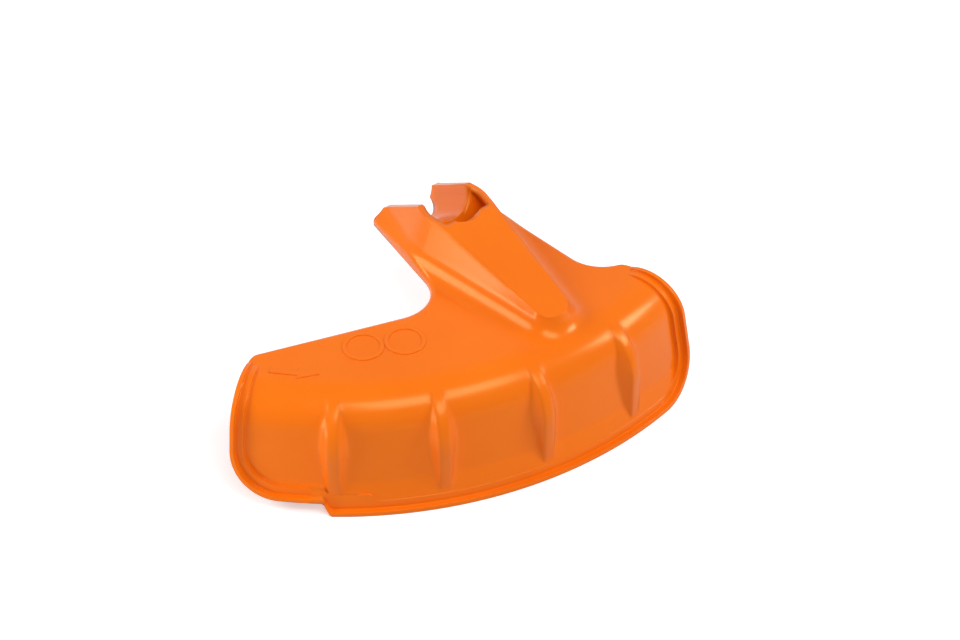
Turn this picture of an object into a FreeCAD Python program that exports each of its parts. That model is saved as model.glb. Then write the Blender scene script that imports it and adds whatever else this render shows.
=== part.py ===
import FreeCAD, Part
import math
import os

V = FreeCAD.Vector

# Sizes in millimetres, angles in degrees. While the guard is drawn, the cutting axis is the Z axis,
# the rim lies on Z = 0 and the arm runs back from the shield along the YZ plane.

# Drive tube that the guard is clamped to
tube_d = 25.4
seat_clearance = 0.1
tube_rise = 33.0
seat_y = -80.8
seat_z = 80.3

# Moulded wall
wall = 2.6

# Shield, turned about the cutting axis
foot_r = 202.1
skirt_lean = 10.5
deck_z = 58.0
shoulder_r = 20.0
half_angle = 35.5
shield_turn = -16.0

# Straight inner edge of the deck, with its turned-down hem
chord_dist = 131.3
hem_depth = 4.0
hem_edge_r = 3.0
end_corner_r = 14.0

# Flare at the foot of the skirt, above the lip
flare_height = 1.7
flare_run = 9.0

# Stepped lip round the open edge
lip_corner_r = 24.0
ledge_1_width = 5.8
ledge_1_height = 2.0
ledge_2_width = 2.0
ledge_2_height = 4.8
lip_fade = 0.45
jog_angle = -22.5
jog_rise = 7.0
jog_slant = 1.7
jog_edge_r = 2.0
ledge_jog_angle = -16.2
ledge_jog_rise = 3.8

# Upright ribs pressed out of the skirt
rib_count = 4
rib_pitch = 15.0
rib_start = -21.5
rib_crest_r = 202.2
rib_crest_width = 5.2
rib_side_angle = 36.0
rib_depth = 10.0
rib_bend_z = 30.0
rib_bend_r = 27.0

# Arm that rises from the deck to the tube seat
arm_half_width = 15.9
arm_draft = 0.38
land_front_y = -100.0
nose_y = -173.0
nose_z = 67.0
nose_centre_y = -164.0
flank_taper = 9.9
neck_taper = 13.8
waist_r = 25.0
arm_foot_r = 12.0

# Outline of the neck in plan
neck_back_y = -53.0
neck_front_y = -115.0
neck_left_back = 23.0
neck_left_front = 30.0
neck_right_back = 27.5
neck_right_front = 35.6
neck_corner_r = 20.0

# Tube seat and the mouth in front of it
cradle_front = 1.5
groove_clearance = 0.6

# Overlap of joined solids, spread of the shield past its ends, and reach of the cutting solids
overlap = 13.0
end_spread = 6.0
reach = 400.0
touch = 0.01

lean = math.radians(skirt_lean)
skirt_up = V(-math.sin(lean), 0, math.cos(lean))
skirt_out = V(math.cos(lean), 0, math.sin(lean))
upward = V(0, 0, 1)
rise = math.radians(tube_rise)
tube_dir = V(0, -math.cos(rise), math.sin(rise))
tube_up = V(0, math.sin(rise), math.cos(rise))
seat = V(0, seat_y, seat_z)
seat_r = tube_d / 2 + seat_clearance
hem_z = deck_z - hem_depth
arm_back_y = neck_back_y + overlap


def turned(shape, angle):
    shape.rotate(V(0, 0, 0), upward, angle)
    return shape


def radial(angle):
    """Unit vector in plan, angle from the shield's middle, positive to +X."""
    a = math.radians(angle + shield_turn)
    return V(math.sin(a), -math.cos(a), 0)


def across(out):
    """Unit vector in plan, square to another."""
    return V(-out.y, out.x, 0)


def block(point, normal, depth):
    """Wide block that starts at a plane and reaches depth along its normal."""
    made = Part.makeBox(2 * reach, 2 * reach, depth, V(-reach, -reach, 0))
    made.Placement = FreeCAD.Placement(point, FreeCAD.Rotation(upward, normal))
    return made


def rounded_wire(corners):
    """Closed wire through (point, radius) corners, each rounded by a tangent arc."""
    edges = []
    ends = []
    count = len(corners)
    for i, (p, r) in enumerate(corners):
        a = corners[i - 1][0] - p
        b = corners[(i + 1) % count][0] - p
        a.normalize()
        b.normalize()
        if r > 0:
            half = a.getAngle(b) / 2
            run = r / math.tan(half)
            mid = a + b
            mid.normalize()
            crown = p + mid * (r / math.sin(half) - r)
            edges.append(Part.Arc(p + a * run, crown, p + b * run).toShape())
        else:
            run = 0
        ends.append((p + a * run, p + b * run))
    for i in range(count):
        edges.append(Part.makeLine(ends[i - 1][1], ends[i][0]))
    return Part.Wire(Part.__sortEdges__(edges))


def crossing(p, d, q, e):
    """Point where two lines in plan meet."""
    det = d.x * e.y - d.y * e.x
    t = ((q.x - p.x) * e.y - (q.y - p.y) * e.x) / det
    return p + d * t


def shoulder_centre():
    """Centre of the shoulder's arc in the XZ plane, tangent to the skirt and the deck."""
    z = deck_z - shoulder_r
    return V(foot_r - z * math.tan(lean) - shoulder_r / math.cos(lean), 0, z)


def on_skirt(skin, z):
    """Point at one height on the skirt's line, moved out by skin."""
    p = shoulder_centre() + skirt_out * (shoulder_r + skin)
    return p + skirt_up * ((z - p.z) / skirt_up.z)


def chain(points):
    return [Part.makeLine(a, b) for a, b in zip(points, points[1:])]


def shield(skin, bottom, spread, flared):
    """Skirt, shoulder and deck turned about the cutting axis, moved out by skin."""
    centre = shoulder_centre()
    bend = shoulder_r + skin
    low = centre + skirt_out * bend
    high = centre + upward * bend
    mid = skirt_out + upward
    mid.normalize()
    if flared:
        base = on_skirt(flare_height, bottom)
        flare = [on_skirt(flare_height, ledge_1_width), on_skirt(skin, ledge_1_width + flare_run)]
    else:
        base = on_skirt(skin, bottom)
        flare = []
    inner_r = -neck_back_y - overlap
    edges = chain([high, V(inner_r, 0, high.z), V(inner_r, 0, bottom), base] + flare + [low])
    edges.append(Part.Arc(low, centre + mid * bend, high).toShape())
    face = turned(Part.Face(Part.Wire(edges)), shield_turn - 90 - spread)
    return face.revolve(V(0, 0, 0), upward, 2 * spread)


def lip(height):
    """Ring that stands proud of the skirt, fades over the shoulder and sinks into the deck."""
    crown = lip_fade * height
    centre = shoulder_centre() + V((height - crown) / math.cos(lean), 0, 0)
    bend = shoulder_r + crown
    base = on_skirt(height, -overlap)
    low = centre + skirt_out * bend
    end = centre - V(bend, 0, 0)
    edges = chain([base, low])
    edges.append(Part.Arc(low, centre + upward * bend, end).toShape())
    edges += chain([end, V(end.x, 0, base.z), base])
    spread = half_angle + end_spread
    face = turned(Part.Face(Part.Wire(edges)), shield_turn - 90 - spread)
    return face.revolve(V(0, 0, 0), upward, 2 * spread)


def arm_outline(skin, z):
    """Outline of the arm at one height: neck, waist, tapering flanks and round nose."""
    grow = arm_draft * (seat_z - z) + skin * math.hypot(1, arm_draft)
    taper = math.radians(flank_taper)
    flare = math.radians(neck_taper)
    flank_n = V(math.cos(taper), -math.sin(taper), 0)
    neck_n = V(math.cos(flare), math.sin(flare), 0)
    flank_d = flank_n.dot(V(arm_half_width, land_front_y, 0))
    neck_d = neck_n.dot(V(arm_half_width, seat_y, 0))
    det = neck_n.x * flank_n.y - neck_n.y * flank_n.x
    a = neck_d - waist_r
    b = flank_d - waist_r
    waist = V((a * flank_n.y - b * neck_n.y) / det, (neck_n.x * b - flank_n.x * a) / det, 0)
    waist_n = neck_n + flank_n
    waist_n.normalize()
    nose = V(0, nose_centre_y, 0)
    nose_r = flank_d - flank_n.dot(nose) + grow
    neck_end = waist + neck_n * (waist_r + grow)
    waist_mid = waist + waist_n * (waist_r + grow)
    flank_start = waist + flank_n * (waist_r + grow)
    flank_end = nose + flank_n * nose_r
    tip = nose + V(0, -nose_r, 0)
    along = across(neck_n)
    back = neck_end + along * ((arm_back_y - neck_end.y) / along.y)

    def port(p):
        return V(-p.x, p.y, 0)

    wire = Part.Wire([
        Part.makeLine(back, neck_end),
        Part.Arc(neck_end, waist_mid, flank_start).toShape(),
        Part.makeLine(flank_start, flank_end),
        Part.Arc(flank_end, tip, port(flank_end)).toShape(),
        Part.makeLine(port(flank_end), port(flank_start)),
        Part.Arc(port(flank_start), port(waist_mid), port(neck_end)).toShape(),
        Part.makeLine(port(neck_end), port(back)),
        Part.makeLine(port(back), back),
    ])
    wire.translate(V(0, 0, z))
    return wire


def arm(skin):
    """Tapering hump with a level land at the seat and a ridge that falls to the nose."""
    bottom = arm_outline(skin, deck_z - shoulder_r - overlap)
    top = arm_outline(skin, seat_z + skin)
    body = Part.makeLoft([bottom, top], True, True)
    land = V(0, land_front_y, seat_z)
    fall = V(0, nose_y, nose_z) - land
    up = V(0, fall.z, -fall.y)
    up.normalize()
    return body.cut(block(land + up * skin, up, reach))


def deck(skin, bottom, spread, flared):
    """Shield with the flat plate of the neck."""
    top = deck_z + skin
    half = max(neck_left_front, neck_right_front) + 2 * neck_corner_r
    depth = chord_dist + overlap + arm_back_y + overlap
    plate = Part.makeBox(2 * half, depth, top - bottom, V(-half, arm_back_y + overlap - depth, bottom))
    return shield(skin, bottom, spread, flared).fuse(plate).removeSplitter()


def blended(base, hump, r):
    """Hump on its base, with a fillet along its foot."""
    body = base.fuse(hump).removeSplitter()
    base_skin = Part.Compound(base.Faces)
    hump_skin = Part.Compound(hump.Faces)
    feet = []
    for edge in body.Edges:
        middle = edge.valueAt((edge.FirstParameter + edge.LastParameter) / 2)
        mark = Part.Vertex(middle)
        met = base_skin.distToShape(mark)[0] < touch and hump_skin.distToShape(mark)[0] < touch
        if met and middle.y < arm_back_y - touch:
            feet.append(edge)
    return body.makeFillet(r, feet)


def inner_edge(inset):
    """Plan of what is kept: chord and neck sides moved in by inset, the back moved clear of it."""
    out = radial(0)
    side = across(out)
    chord = out * (chord_dist + inset)
    length = neck_back_y - neck_front_y
    right_d = V((neck_right_front - neck_right_back) / length, -1, 0)
    left_d = V((neck_left_back - neck_left_front) / length, -1, 0)
    right = V(neck_right_back - inset * right_d.Length, neck_back_y, 0)
    left = V(inset * left_d.Length - neck_left_back, neck_back_y, 0)
    level = V(0, neck_back_y + abs(inset), 0)
    level_d = V(1, 0, 0)
    r = neck_corner_r + inset
    corners = [
        (chord - side * reach, 0),
        (crossing(chord, side, left, left_d), r),
        (crossing(left, left_d, level, level_d), 0),
        (crossing(right, right_d, level, level_d), 0),
        (crossing(chord, side, right, right_d), r),
        (chord + side * reach, 0),
        (chord + side * reach + out * reach, 0),
        (chord - side * reach + out * reach, 0),
    ]
    return rounded_wire(corners)


def inner_prism(inset):
    face = Part.Face(inner_edge(inset))
    face.translate(V(0, 0, -reach))
    return face.extrude(V(0, 0, 2 * reach))


def hem_edges(body):
    """Top edges over the chord and the neck's sides, where the hem turns down."""
    outline = inner_edge(0)
    found = []
    for edge in body.Edges:
        span = edge.LastParameter - edge.FirstParameter
        points = [edge.valueAt(edge.FirstParameter + span * k / 4) for k in range(5)]
        gaps = [outline.distToShape(Part.Vertex(V(p.x, p.y, 0)))[0] for p in points]
        middle = points[2]
        if max(gaps) < touch and middle.z > deck_z - touch and middle.y < neck_back_y - touch:
            found.append(edge)
    return found


def slab(corners, angle):
    """Prism along the radial direction at one angle; corners are (along the rim, height, rounding)."""
    out = radial(angle)
    side = across(out)
    points = [(side * s + V(0, 0, z) - out * reach, r) for s, z, r in corners]
    return Part.Face(rounded_wire(points)).extrude(out * (2 * reach))


def end_zone(angle, sign, inset, lift):
    """What is kept inside one end plane, its bottom corner rounded."""
    low = lift + inset
    run = sign * (lip_corner_r + ledge_1_width)
    corners = [
        (sign * inset, reach, 0),
        (sign * inset, low, lip_corner_r - inset),
        (run, low, 0),
        (run, -reach, 0),
        (sign * reach, -reach, 0),
        (sign * reach, reach, 0),
    ]
    return slab(corners, angle)


def step_zone(angle, high, low, run):
    """What is kept above a rim that steps up at one angle."""
    corners = [
        (-reach, high, 0),
        (-jog_slant, high, jog_edge_r),
        (jog_slant, low, jog_edge_r),
        (run, low, 0),
        (run, -reach, 0),
        (2 * reach, -reach, 0),
        (2 * reach, reach, 0),
        (-reach, reach, 0),
    ]
    return slab(corners, angle)


def corner_piece(angle, sign, inset):
    """Sharp plan corner between the chord and one end, outside its rounding."""
    out = radial(0)
    end = radial(angle)
    p = crossing(out * chord_dist, across(out), across(end) * (sign * inset), end)
    a = across(out) * sign
    half = a.getAngle(end) / 2
    mid = a + end
    mid.normalize()
    run = end_corner_r / math.tan(half)
    start = p + a * run
    stop = p + end * run
    crown = p + mid * (end_corner_r / math.sin(half) - end_corner_r)
    edges = chain([start, p, stop])
    edges.append(Part.Arc(stop, crown, start).toShape())
    face = Part.Face(Part.Wire(edges))
    face.translate(V(0, 0, -reach))
    return face.extrude(V(0, 0, 2 * reach))


def edge_zone(inset, middle_rise):
    """What lies further than inset from the open edge at the two ends and the rim."""
    zone = end_zone(-half_angle, 1, inset, jog_rise)
    zone = zone.common(end_zone(half_angle, -1, inset, 0))
    if middle_rise > 0:
        run = foot_r * math.radians(ledge_jog_angle - jog_angle) / 2
        zone = zone.common(step_zone(ledge_jog_angle, inset + middle_rise, inset, reach))
        zone = zone.common(step_zone(jog_angle, inset + jog_rise, inset + middle_rise, run))
    else:
        zone = zone.common(step_zone(jog_angle, inset + jog_rise, inset, reach))
    zone = zone.cut(corner_piece(-half_angle, 1, inset))
    return zone.cut(corner_piece(half_angle, -1, inset))


def rib(skin, angle, bent):
    """Upright rib with a flat crest and sloping sides; a bent one turns over into the shoulder."""
    slope = math.radians(rib_side_angle)
    crest = rib_crest_r + skin
    half = rib_crest_width / 2 + skin * (1 / math.cos(slope) - math.tan(slope))
    root = rib_crest_r - rib_depth
    root_half = half + (crest - root) * math.tan(slope)

    def section(z):
        corners = [V(crest, -half, z), V(crest, half, z), V(root, root_half, z), V(root, -root_half, z)]
        return Part.Face(Part.makePolygon(corners + corners[:1]))

    bar = section(-overlap).extrude(V(0, 0, rib_bend_z + overlap))
    if bent:
        hinge = V(rib_crest_r - rib_bend_r, 0, rib_bend_z)
        bar = bar.fuse(section(rib_bend_z).revolve(hinge, V(0, -1, 0), 90)).removeSplitter()
    return turned(bar, angle + shield_turn - 90)


os.makedirs("parts", exist_ok=True)

# Outer and inner skin, cut back to the tube's level over the seat and to the plan behind
outer = blended(deck(0, 0, half_angle + end_spread, True), arm(0), arm_foot_r)
inner = deck(-wall, -overlap, half_angle + 2 * end_spread, False).fuse(arm(-wall))
outer = outer.cut(block(seat, tube_up, reach)).common(inner_prism(0))
inner = inner.cut(block(seat - tube_up * wall, tube_up, reach))
outer = outer.makeFillet(hem_edge_r, hem_edges(outer))

# Hollow inside the wall, open behind below the hem
open_below = block(V(0, 0, hem_z), -upward, reach)
hollow = inner.common(inner_prism(wall))
hollow = hollow.fuse(inner.common(inner_prism(-hem_depth)).common(open_below))

# Ribs, hollow from inside like the skirt
for k in range(rib_count):
    rib_angle = rib_start + rib_pitch * k
    outer = outer.fuse(rib(0, rib_angle, True))
    hollow = hollow.fuse(rib(-wall, rib_angle, False))

# Stepped lip round the ends and the rim
ledge_1 = lip(ledge_1_height).common(inner_prism(0)).cut(edge_zone(ledge_1_width, ledge_jog_rise))
ledge_2 = lip(ledge_2_height).common(inner_prism(0)).cut(edge_zone(ledge_2_width, 0))
neck_zone = block(radial(0) * (chord_dist - overlap), radial(0) * -1, reach)
outer = outer.fuse(ledge_1).fuse(ledge_2).common(edge_zone(0, 0).fuse(neck_zone))
guard = outer.cut(hollow)

# Half-round tube seat on a cradle, with a web that closes the arm under the mouth,
# and a groove that lets the tube pass over the ridge
cradle = Part.makeCylinder(seat_r + wall, reach + cradle_front, seat - tube_dir * reach, tube_dir)
web = block(seat + tube_dir * (cradle_front - wall), tube_dir, wall)
over_plate = outer.common(block(V(0, 0, deck_z - wall), upward, reach))
guard = guard.fuse(over_plate.common(cradle)).fuse(over_plate.common(web))
bore_length = reach + cradle_front + wall
guard = guard.cut(Part.makeCylinder(seat_r, bore_length, seat - tube_dir * reach, tube_dir))
groove_start = seat + tube_dir * (cradle_front + 2 * wall)
guard = guard.cut(Part.makeCylinder(seat_r + groove_clearance, reach, groove_start, tube_dir))
mouth = Part.Face(arm_outline(-wall, seat_z))
mouth.translate(upward * (-2 * wall))
mouth = mouth.extrude(upward * (2 * wall + overlap))
mouth = mouth.common(block(seat + tube_dir * cradle_front, tube_dir, reach))
guard = guard.cut(mouth.common(block(V(0, land_front_y, 0), V(0, 1, 0), reach))).removeSplitter()

# Origin on the tube seat
guard.translate(seat * -1)
guard.exportStep("parts/guard.step")
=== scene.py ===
"""Orange trimmer blade guard: material, moulded marks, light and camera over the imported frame."""
import math
import bpy
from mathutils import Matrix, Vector


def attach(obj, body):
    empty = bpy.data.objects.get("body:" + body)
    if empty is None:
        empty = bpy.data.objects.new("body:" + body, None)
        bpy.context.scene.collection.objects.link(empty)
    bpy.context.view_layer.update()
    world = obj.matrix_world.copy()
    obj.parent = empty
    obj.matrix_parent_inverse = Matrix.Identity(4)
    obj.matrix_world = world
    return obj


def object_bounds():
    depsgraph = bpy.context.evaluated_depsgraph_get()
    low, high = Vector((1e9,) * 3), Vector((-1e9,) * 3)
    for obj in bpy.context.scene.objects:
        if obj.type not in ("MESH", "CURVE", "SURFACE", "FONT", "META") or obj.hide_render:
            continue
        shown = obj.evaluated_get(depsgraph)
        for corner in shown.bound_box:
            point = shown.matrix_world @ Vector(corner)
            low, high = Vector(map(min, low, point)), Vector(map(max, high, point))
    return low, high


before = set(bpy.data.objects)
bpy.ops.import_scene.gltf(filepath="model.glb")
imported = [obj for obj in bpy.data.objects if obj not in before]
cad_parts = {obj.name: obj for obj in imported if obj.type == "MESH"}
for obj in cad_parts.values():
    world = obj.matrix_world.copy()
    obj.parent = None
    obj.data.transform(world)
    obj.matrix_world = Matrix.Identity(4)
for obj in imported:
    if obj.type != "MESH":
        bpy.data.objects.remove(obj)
cad_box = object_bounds()
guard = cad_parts["guard"]
scene = bpy.context.scene

# Lengths are in metres and angles in degrees, in the row frame
rim_z = cad_box[0].z
deck_z = -0.0223
axis_y = 0.0808
guard_middle = (cad_box[0] + cad_box[1]) / 2

# Ribs on the skirt: angles from the arm's line, and where they start above the rim
rib_count = 4
rib_first = -37.5
rib_pitch = 15.0
rib_half = 3.2
rib_foot = 0.0062

# Plastic: the two ends of its flow streaks' tint, and how far edges are softened
orange_light = (0.88, 0.170, 0.003, 1)
orange_dark = (0.85, 0.154, 0.002, 1)
edge_round = 0.0006
rib_round = 0.0038
mark_round = 0.0002

# Marks on the deck: half their thickness, two rings, and an arrow along an arc about the cutting axis
mark_height = 0.0004
ring_places = [(-0.0821, -0.0471), (-0.0638, -0.0555)]
ring_outer = 0.0100
ring_inner = 0.0080
ring_points = 96
arrow_r = 0.1715
arrow_shaft = 0.0016
arrow_barb = 0.0038
arrow_tail = -47.7
arrow_neck = -43.2
arrow_tip = -39.8
arrow_steps = 12

# Floor, just under the rim
floor_gap = 0.0004
floor_half = 12.0

# Camera at the photograph's viewing angle
look_at = Vector((0.0135, -0.0116, rim_z))
camera_azimuth = -36.9
camera_elevation = 41.0
camera_distance = 1.518
camera_lens = 112.5
camera_sensor = 36.0


def direction(azimuth, elevation):
    """Unit vector from the guard; azimuth 0 is the skirt's side, positive to +X."""
    a = math.radians(azimuth)
    e = math.radians(elevation)
    return Vector((math.sin(a) * math.cos(e), -math.cos(a) * math.cos(e), math.sin(e)))


def placed(name, data, point, way):
    """New lamp or camera on the line from a point along way, looking back at the point."""
    made = bpy.data.objects.new(name, data)
    scene.collection.objects.link(made)
    made.location = point + way
    made.rotation_mode = "QUATERNION"
    made.rotation_quaternion = (-way).to_track_quat("-Z", "Y")
    return made


def empty_tree(owner):
    """Node tree of a material or world, with nothing in it."""
    owner.use_nodes = True
    owner.node_tree.nodes.clear()
    return owner.node_tree


def node(tree, kind, **values):
    """New shader node; keys are socket names with _ for spaces, or node properties in lower case."""
    made = tree.nodes.new(kind)
    for key, value in values.items():
        if key in made.bl_rna.properties:
            setattr(made, key, value)
        else:
            made.inputs[key.replace("_", " ")].default_value = value
    return made


def link(tree, a, b):
    tree.links.new(a, b)


def calc(tree, operation, a, b):
    """Math node on sockets or plain numbers."""
    made = node(tree, "ShaderNodeMath", operation=operation)
    for socket, value in zip(made.inputs, (a, b)):
        if isinstance(value, (int, float)):
            socket.default_value = value
        else:
            link(tree, value, socket)
    return made.outputs["Value"]


def seen(tree):
    """One for rays from the camera, a mirror or a clear thing, none for the light that falls on things."""
    path = node(tree, "ShaderNodeLightPath").outputs
    shown = calc(tree, "MAXIMUM", path["Is Camera Ray"], path["Is Glossy Ray"])
    return calc(tree, "MAXIMUM", shown, path["Is Transmission Ray"])


def pick(tree, unseen, shown):
    """Mix of two shaders: the second where it is seen, the first where it only gives light."""
    mix = node(tree, "ShaderNodeMixShader")
    link(tree, seen(tree), mix.inputs["Fac"])
    link(tree, unseen, mix.inputs[1])
    link(tree, shown, mix.inputs[2])
    return mix.outputs["Shader"]


def near_rib(tree, where):
    """One within the ribs' width on the skirt, none elsewhere."""
    split = node(tree, "ShaderNodeSeparateXYZ")
    link(tree, where, split.inputs["Vector"])
    ahead = calc(tree, "SUBTRACT", axis_y, split.outputs["Y"])
    angle = calc(tree, "ARCTAN2", split.outputs["X"], ahead)
    pitch = math.radians(rib_pitch)
    start = math.radians(rib_first) - pitch / 2
    turn = calc(tree, "FLOORED_MODULO", calc(tree, "SUBTRACT", angle, start), pitch)
    off = calc(tree, "ABSOLUTE", calc(tree, "SUBTRACT", turn, pitch / 2), 0)
    across = calc(tree, "LESS_THAN", off, math.radians(rib_half))
    middle = start + rib_count * pitch / 2
    spread = calc(tree, "ABSOLUTE", calc(tree, "SUBTRACT", angle, middle), 0)
    inside = calc(tree, "LESS_THAN", spread, rib_count * pitch / 2)
    above = calc(tree, "GREATER_THAN", split.outputs["Z"], rim_z + rib_foot)
    return calc(tree, "MULTIPLY", calc(tree, "MULTIPLY", across, inside), above)


def plastic(name, edge_r, rib_r):
    """Gloss orange moulding: faint flow streaks, orange-peel skin, edges and ribs softened."""
    mat = bpy.data.materials.new(name)
    tree = empty_tree(mat)
    out = node(tree, "ShaderNodeOutputMaterial")
    skin = node(
        tree, "ShaderNodeBsdfPrincipled", IOR=1.49,
        Specular_IOR_Level=0.36, Specular_Tint=(1.0, 0.82, 0.36, 1),
        Subsurface_Weight=0.06, Subsurface_Radius=(1.0, 0.35, 0.1), Subsurface_Scale=0.002,
    )
    place = node(tree, "ShaderNodeTexCoord").outputs["Object"]

    flow = node(tree, "ShaderNodeTexNoise", Scale=22.0, Detail=3.0, Roughness=0.5)
    tint = node(tree, "ShaderNodeValToRGB")
    dark, light = tint.color_ramp.elements
    dark.color = orange_dark
    dark.position = 0.3
    light.color = orange_light
    light.position = 0.7
    link(tree, place, flow.inputs["Vector"])
    link(tree, flow.outputs["Fac"], tint.inputs["Fac"])
    link(tree, tint.outputs["Color"], skin.inputs["Base Color"])

    wipe = node(tree, "ShaderNodeTexNoise", Scale=60.0, Detail=4.0, Roughness=0.6)
    sheen = node(tree, "ShaderNodeMapRange", To_Min=0.17, To_Max=0.25)
    link(tree, place, wipe.inputs["Vector"])
    link(tree, wipe.outputs["Fac"], sheen.inputs["Value"])
    link(tree, sheen.outputs["Result"], skin.inputs["Roughness"])

    edge = node(tree, "ShaderNodeBevel", samples=8)
    more = calc(tree, "MULTIPLY", near_rib(tree, place), rib_r - edge_r)
    link(tree, calc(tree, "ADD", more, edge_r), edge.inputs["Radius"])
    peel = node(tree, "ShaderNodeTexNoise", Scale=900.0, Detail=2.0)
    bump = node(tree, "ShaderNodeBump", Strength=0.05, Distance=0.0002)
    link(tree, place, peel.inputs["Vector"])
    link(tree, peel.outputs["Fac"], bump.inputs["Height"])
    link(tree, edge.outputs["Normal"], bump.inputs["Normal"])
    link(tree, bump.outputs["Normal"], skin.inputs["Normal"])
    link(tree, skin.outputs["BSDF"], out.inputs["Surface"])
    return mat


def circle(x, y, r):
    """Points round a ring's edge, in plan."""
    turns = [2 * math.pi * k / ring_points for k in range(ring_points)]
    return [(x + r * math.cos(a), y + r * math.sin(a)) for a in turns]


def on_arc(r, angle):
    """Point in plan at one radius from the cutting axis, angle from the arm's line."""
    a = math.radians(angle)
    return (r * math.sin(a), axis_y - r * math.cos(a))


def arc(r, start, stop):
    """Points along an arc about the cutting axis."""
    return [on_arc(r, start + (stop - start) * k / arrow_steps) for k in range(arrow_steps + 1)]


def raised(name, loops, material):
    """Flat mark on the deck: closed outlines in plan become a low plateau."""
    curve = bpy.data.curves.new(name, "CURVE")
    curve.dimensions = "2D"
    curve.fill_mode = "FRONT"
    curve.extrude = mark_height
    for points in loops:
        spline = curve.splines.new("POLY")
        spline.points.add(len(points) - 1)
        for knot, (x, y) in zip(spline.points, points):
            knot.co = (x, y, 0, 1)
        spline.use_cyclic_u = True
    outline = bpy.data.objects.new(name, curve)
    mesh = bpy.data.meshes.new_from_object(outline)
    bpy.data.objects.remove(outline)
    mesh.materials.clear()
    mesh.materials.append(material)
    piece = bpy.data.objects.new(name, mesh)
    piece.location = (0, 0, deck_z)
    scene.collection.objects.link(piece)
    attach(piece, "root")


def pale_material():
    """Matte floor, white where it is seen, that keeps the guard's shadow."""
    mat = bpy.data.materials.new("pale_floor")
    tree = empty_tree(mat)
    out = node(tree, "ShaderNodeOutputMaterial")
    matte = node(tree, "ShaderNodeBsdfDiffuse", Color=(0.86, 0.86, 0.86, 1))
    glow = node(tree, "ShaderNodeEmission", Color=(1, 1, 1, 1), Strength=0.40)
    white = node(tree, "ShaderNodeAddShader")
    link(tree, matte.outputs["BSDF"], white.inputs[0])
    link(tree, glow.outputs["Emission"], white.inputs[1])
    cast = node(tree, "ShaderNodeBsdfDiffuse", Color=(0.55, 0.55, 0.55, 1))
    link(tree, pick(tree, cast.outputs["BSDF"], white.outputs["Shader"]), out.inputs["Surface"])
    mat.cycles.emission_sampling = "NONE"
    return mat


def make_floor():
    z = rim_z - floor_gap
    corners = [(-1, -1), (1, -1), (1, 1), (-1, 1)]
    mesh = bpy.data.meshes.new("floor")
    mesh.from_pydata([(x * floor_half, y * floor_half, z) for x, y in corners], [], [(0, 1, 2, 3)])
    mesh.materials.append(pale_material())
    floor = bpy.data.objects.new("floor", mesh)
    scene.collection.objects.link(floor)


def make_world():
    """Even pale fill, white where it is seen."""
    scene.world = bpy.data.worlds.new("studio")
    tree = empty_tree(scene.world)
    out = node(tree, "ShaderNodeOutputWorld")
    fill = node(tree, "ShaderNodeBackground", Color=(1, 1, 1, 1), Strength=0.22)
    white = node(tree, "ShaderNodeBackground", Color=(1, 1, 1, 1), Strength=1.0)
    link(tree, pick(tree, fill.outputs["Background"], white.outputs["Background"]), out.inputs["Surface"])


def softbox(name, azimuth, elevation, distance, width, height, watts):
    """Area light on a sphere round the guard, facing its middle."""
    lamp = bpy.data.lights.new(name, "AREA")
    lamp.shape = "RECTANGLE"
    lamp.size = width
    lamp.size_y = height
    lamp.energy = watts
    made = placed(name, lamp, guard_middle, direction(azimuth, elevation) * distance)
    made.visible_camera = False


def make_camera():
    camera = bpy.data.cameras.new("camera")
    camera.lens = camera_lens
    camera.sensor_width = camera_sensor
    way = direction(camera_azimuth, camera_elevation) * camera_distance
    scene.camera = placed("camera", camera, look_at, way)


# The guard's plastic
guard.data.materials.clear()
guard.data.materials.append(plastic("orange_plastic", edge_round, rib_round))

# Two plain rings and a plain arrow on the deck
mark_orange = plastic("mark_orange", mark_round, mark_round)
for number, (x, y) in enumerate(ring_places, 1):
    raised(f"ring_{number}", [circle(x, y, ring_outer), circle(x, y, ring_inner)], mark_orange)
head = [(arrow_r - arrow_barb, arrow_neck), (arrow_r, arrow_tip), (arrow_r + arrow_barb, arrow_neck)]
arrow = arc(arrow_r - arrow_shaft, arrow_tail, arrow_neck)
arrow += [on_arc(r, angle) for r, angle in head]
arrow += arc(arrow_r + arrow_shaft, arrow_neck, arrow_tail)
raised("turn_arrow", [arrow], mark_orange)

# Studio: the flank's softbox is a low strip that shows in the side of the arm
make_floor()
make_world()
softbox("front_softbox", azimuth=-6, elevation=55, distance=1.6, width=1.05, height=0.55, watts=13.5)
softbox("right_softbox", azimuth=54, elevation=34, distance=1.6, width=0.46, height=0.42, watts=9.0)
softbox("left_softbox", azimuth=-126, elevation=39, distance=1.1, width=0.50, height=0.42, watts=5.4)
softbox("flank_softbox", azimuth=-104, elevation=1.3, distance=0.5, width=0.20, height=0.09, watts=0.75)
make_camera()
scene.view_settings.view_transform = "Standard"
